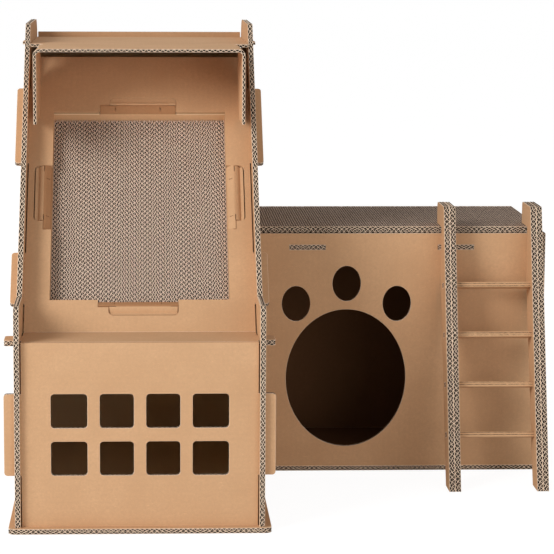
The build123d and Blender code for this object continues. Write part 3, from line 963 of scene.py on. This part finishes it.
def make_tray(node, material):
    """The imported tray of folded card, with its tongues tucked in along a softer line."""
    spans = box_of("lounge_scratch_pad", LOUNGE_AXES)[:2]
    surface = box_of("lounge_panel", LOUNGE_AXES)[2][1]
    points = [list(p) for p in seen_along(node, LOUNGE_AXES)]
    for k in (0, 1):
        for side in (-1, 1):
            edge = spans[k][0] - PAD_PLAY if side < 0 else spans[k][1] + PAD_PLAY
            upper = k == 0 and side > 0
            wanted, play = (LEVEL_TONGUE, 1.0) if upper else (TUCKED_TONGUE, TONGUE_PLAY)
            tongue = [p for p in points if (p[k] - edge) * side > PACKED_TONGUE[0][0] + FOLD_ROOM
                      and p[2] > surface - TONGUE_DEPTH]
            middle = (min(p[1 - k] for p in tongue) + max(p[1 - k] for p in tongue)) / 2
            for p in tongue:
                out, lift = bent_again((p[k] - edge) * side, PACKED_TONGUE, wanted)
                p[k] = edge + out * side
                p[2] += lift
                p[1 - k] = middle + (p[1 - k] - middle) * play
    place = along_axes(*LOUNGE_AXES)
    mesh = bpy.data.meshes.new(f"{node}_card")
    faces = [list(polygon.vertices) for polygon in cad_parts[node].data.polygons]
    mesh.from_pydata([place(*p) for p in points], [], faces)
    mesh.materials.append(material)
    turn_outward(mesh, weld=NEAR)
    settle(added(f"{node}_card", mesh), node)


# Operators


CAMERA_LENS = 147.45
SENSOR = 36.0
CAMERA_SHIFT = 0.0814
CAMERA_PLACE = (0.0, -2.8875, 0.696)
CAMERA_PITCH = math.radians(8.5)
CAMERA_YAW = math.radians(2.35)
CAMERA_ROLL = math.radians(0.23)
CLIP_END = 100.0
FLOOR_REACH = 40.0
FLOOR_LEVEL = -0.0004  # just below the castle's feet
FLOOR_GLOW = 0.8  # how much of the floor's own white the camera sees
GLOW_LEVEL = 1.16
AMBIENT = 0.38  # of the pale surroundings, as the castle is lit by them
LAMPS = (  # name, place, aim, width and power
    ("key_lamp", (-2.45, -2.3, 1.9), (0.1, 0.0, 0.25), 1.8, 98.0),
    ("fill_lamp", (1.7, -3.2, 0.35), (0.3, 0.0, 0.12), 2.4, 34.0),
)


class CASTLE_OT_stage(bpy.types.Operator):
    """Sets up the studio: the camera, the floor, the soft lights and the pale surroundings"""
    bl_idname = "castle.stage"
    bl_label = "Studio"

    def execute(self, context):
        camera_data = bpy.data.cameras.new("castle_camera")
        camera_data.lens = CAMERA_LENS
        camera_data.sensor_width = SENSOR
        camera_data.shift_x = CAMERA_SHIFT
        camera_data.clip_end = CLIP_END
        camera = added("castle_camera", camera_data)
        camera.location = CAMERA_PLACE
        yaw = Matrix.Rotation(-CAMERA_YAW, 3, "Z")
        pitch = Matrix.Rotation(math.pi / 2 - CAMERA_PITCH, 3, "X")
        roll = Matrix.Rotation(CAMERA_ROLL, 3, "Z")
        camera.rotation_euler = (yaw @ pitch @ roll).to_euler()
        context.scene.camera = camera
        self.floor()
        self.lamps()
        self.surroundings(context.scene)
        context.scene.view_settings.view_transform = "Standard"
        return {"FINISHED"}

    def floor(self):
        mesh = bpy.data.meshes.new("studio_floor")
        turns = ((-1, -1), (1, -1), (1, 1), (-1, 1))
        corners = [(x * FLOOR_REACH, y * FLOOR_REACH, FLOOR_LEVEL) for x, y in turns]
        mesh.from_pydata(corners, [], [(0, 1, 2, 3)])
        finish = Finish("studio_floor")
        finish.shader.inputs["Base Color"].default_value = solid(colours().floor)
        finish.shader.inputs["Roughness"].default_value = 0.9
        finish.shader.inputs["Specular IOR Level"].default_value = 0.1
        glow = finish.node("ShaderNodeEmission", Color=(1, 1, 1, 1), Strength=GLOW_LEVEL)
        blend = finish.node("ShaderNodeMixShader")
        finish.feed(blend.inputs[0], finish.maths("MULTIPLY", finish.seen(), FLOOR_GLOW))
        finish.feed(blend.inputs[1], finish.shader.outputs[0])
        finish.feed(blend.inputs[2], glow.outputs[0])
        finish.feed(finish.nodes["Material Output"].inputs["Surface"], blend.outputs[0])
        mesh.materials.append(finish.material)
        floor = added("studio_floor", mesh)

    def lamps(self):
        for name, place, aim, width, power in LAMPS:
            lamp_data = bpy.data.lights.new(name, "AREA")
            lamp_data.shape = "DISK"
            lamp_data.size = width
            lamp_data.energy = power
            lamp = added(name, lamp_data)
            lamp.location = place
            lamp.rotation_euler = (Vector(aim) - Vector(place)).to_track_quat("-Z", "Y").to_euler()

    def surroundings(self, scene):
        world = bpy.data.worlds.new("studio")
        world.use_nodes = True
        scene.world = world
        sky = Nodes(world.node_tree)
        background = sky.nodes["Background"]
        sky.feed(background.inputs["Strength"], sky.remap(sky.seen(), 0.0, 1.0, AMBIENT, 1.0))
        background.inputs["Color"].default_value = (1, 1, 1, 1)


class CASTLE_OT_tower(bpy.types.Operator):
    """Builds the tower's walls, panels, ledge and base from corrugated board"""
    bl_idname = "castle.tower"
    bl_label = "Tower"

    def execute(self, context):
        chance = random.Random(sizes().seed)
        # The den's pale inner faces are painted light
        boards = board_finishes("tower", tone=den_painted_light_tone)
        # Painted shade: the back panel's level 0.82 makes its face darker
        back_boards = board_finishes("tower_back", level=0.82, across="X", shift=8.6, tone=den_painted_light_tone)
        top = box_of("window_panel")[2][1]

        def upper_edge(a, b):
            return min(a[0], b[0]) > top - NEAR

        for node, axes in TOWER_SHEETS.items():
            materials = back_boards if node == "tower_back_panel" else boards
            plain = upper_edge if node == "window_panel" else None
            make_sheet(node, axes, materials, chance, plain)
        return {"FINISHED"}


class CASTLE_OT_lounge(bpy.types.Operator):
    """Builds the sloped lounge panel, its folded tray and its scratch pad"""
    bl_idname = "castle.lounge"
    bl_label = "Lounge"

    def execute(self, context):
        chance = random.Random(sizes().seed + 1)
        pad = "lounge_scratch_pad"
        sides = box_of(pad, LOUNGE_AXES)[:2]
        reach = 0.026  # of the flaps' cut-outs beyond the pad

        def beside_pad(*corners):
            return all(low - reach < place < high + reach
                       for corner in corners for place, (low, high) in zip(corner, sides))

        # The den's pale inner faces are painted light
        boards = board_finishes("lounge", across="X", shift=1.3, tone=den_painted_light_tone)
        make_sheet("lounge_panel", LOUNGE_AXES, boards, chance, beside_pad)
        strips = pad_finishes("lounge_pad", wave_painted_shade=1.0, shift=2.1)
        make_pad(pad, LOUNGE_AXES, strips, chance, sizes().pad_liner)
        palette = colours()
        # Painted shade and light: the tray's strips beside the pad are darker and its walls below them
        # paler
        card = kraft_finish("tray_card_painted_shade_and_light", palette.kraft, palette.kraft_dark, "X", 3.1, tray_painted_shade_and_light)
        make_tray("lounge_tray", card)
        return {"FINISHED"}


class CASTLE_OT_roof(bpy.types.Operator):
    """Builds the roof and the hood as one folded sheet of thin board"""
    bl_idname = "castle.roof"
    bl_label = "Roof"

    def execute(self, context):
        # Painted light: the roof's level 1.15 makes its face lighter
        make_roof("roof_canopy", board_finishes("roof", level=1.15, across="X", shift=4.2))
        return {"FINISHED"}


class CASTLE_OT_house(bpy.types.Operator):
    """Builds the house with its paw door, its shelf and the scratch pad on top"""
    bl_idname = "castle.house"
    bl_label = "House"

    def execute(self, context):
        chance = random.Random(sizes().seed + 2)
        # Painted shade: the house's level 0.98 makes its face slightly darker
        boards = board_finishes("house", level=0.98, across="X", shift=5.4)
        for node, (axes, room) in HOUSE_SHEETS.items():
            make_sheet(node, axes, boards, chance, room=room)
        pad = "house_scratch_pad"
        # Painted shade: the house pad's wave rims are darker than its liner rims
        strips = pad_finishes("house_pad", wave_painted_shade=0.6, shift=6.3)
        make_pad(pad, LYING, strips, chance, sizes().house_pad_liner, sizes().pad_end)
        ends = board_finishes("house_pad_end", across="X", shift=9.1)
        make_pad_ends(pad, LYING, ends, chance)
        return {"FINISHED"}


END_FACE = 0.01  # a rung's face that points to the side more than this is an end


class CASTLE_OT_ladder(bpy.types.Operator):
    """Builds the ladder's rails, each glued from two plies, and its rungs"""
    bl_idname = "castle.ladder"
    bl_label = "Ladder"

    def execute(self, context):
        chance = random.Random(sizes().seed + 3)
        boards = board_finishes("ladder", shift=7.7)
        for node in RAIL_PLIES:
            make_sheet(node, SIDEWAYS, boards, chance)
        for node in (name for name in sorted(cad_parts) if name.startswith("ladder_rung_")):
            make_sheet(node, self.rung_axes(node), boards, chance, self.along_rung)
        return {"FINISHED"}

    def rung_axes(self, node):
        """The directions of a leaning rung, read from its largest face."""
        faces = (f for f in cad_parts[node].data.polygons if abs(f.normal.x) < END_FACE)
        off = max(faces, key=lambda f: f.area).normal.normalized()
        if off.z < 0:
            off = -off
        return X, off.cross(X).normalized(), off

    def along_rung(self, a, b):
        return abs(a[1] - b[1]) < NEAR


class CASTLE_PT_sidebar(bpy.types.Panel):
    """Lists the castle's pieces, sizes and colours"""
    bl_idname = "CASTLE_PT_sidebar"
    bl_label = "Cardboard Cat Castle"
    bl_space_type = "VIEW_3D"
    bl_region_type = "UI"
    bl_category = "Castle"

    def draw(self, context):
        for operator in STEPS:
            self.layout.operator(operator.bl_idname)
        for group in (context.scene.castle_sizes, context.scene.castle_colours):
            box = self.layout.box()
            for key in group.__annotations__:
                box.prop(group, key)


STEPS = (
    CASTLE_OT_stage, CASTLE_OT_tower, CASTLE_OT_lounge, CASTLE_OT_roof, CASTLE_OT_house,
    CASTLE_OT_ladder,
)
CLASSES = (CastleSizes, CastleColours, *STEPS, CASTLE_PT_sidebar)


def register():
    for item in CLASSES:
        bpy.utils.register_class(item)
    bpy.types.Scene.castle_sizes = PointerProperty(type=CastleSizes)
    bpy.types.Scene.castle_colours = PointerProperty(type=CastleColours)


def unregister():
    del bpy.types.Scene.castle_sizes
    del bpy.types.Scene.castle_colours
    for item in reversed(CLASSES):
        bpy.utils.unregister_class(item)


def main():
    register()
    bpy.ops.castle.stage()
    bpy.ops.castle.tower()
    bpy.ops.castle.lounge()
    bpy.ops.castle.roof()
    bpy.ops.castle.house()
    bpy.ops.castle.ladder()


if __name__ == "__main__":
    main()
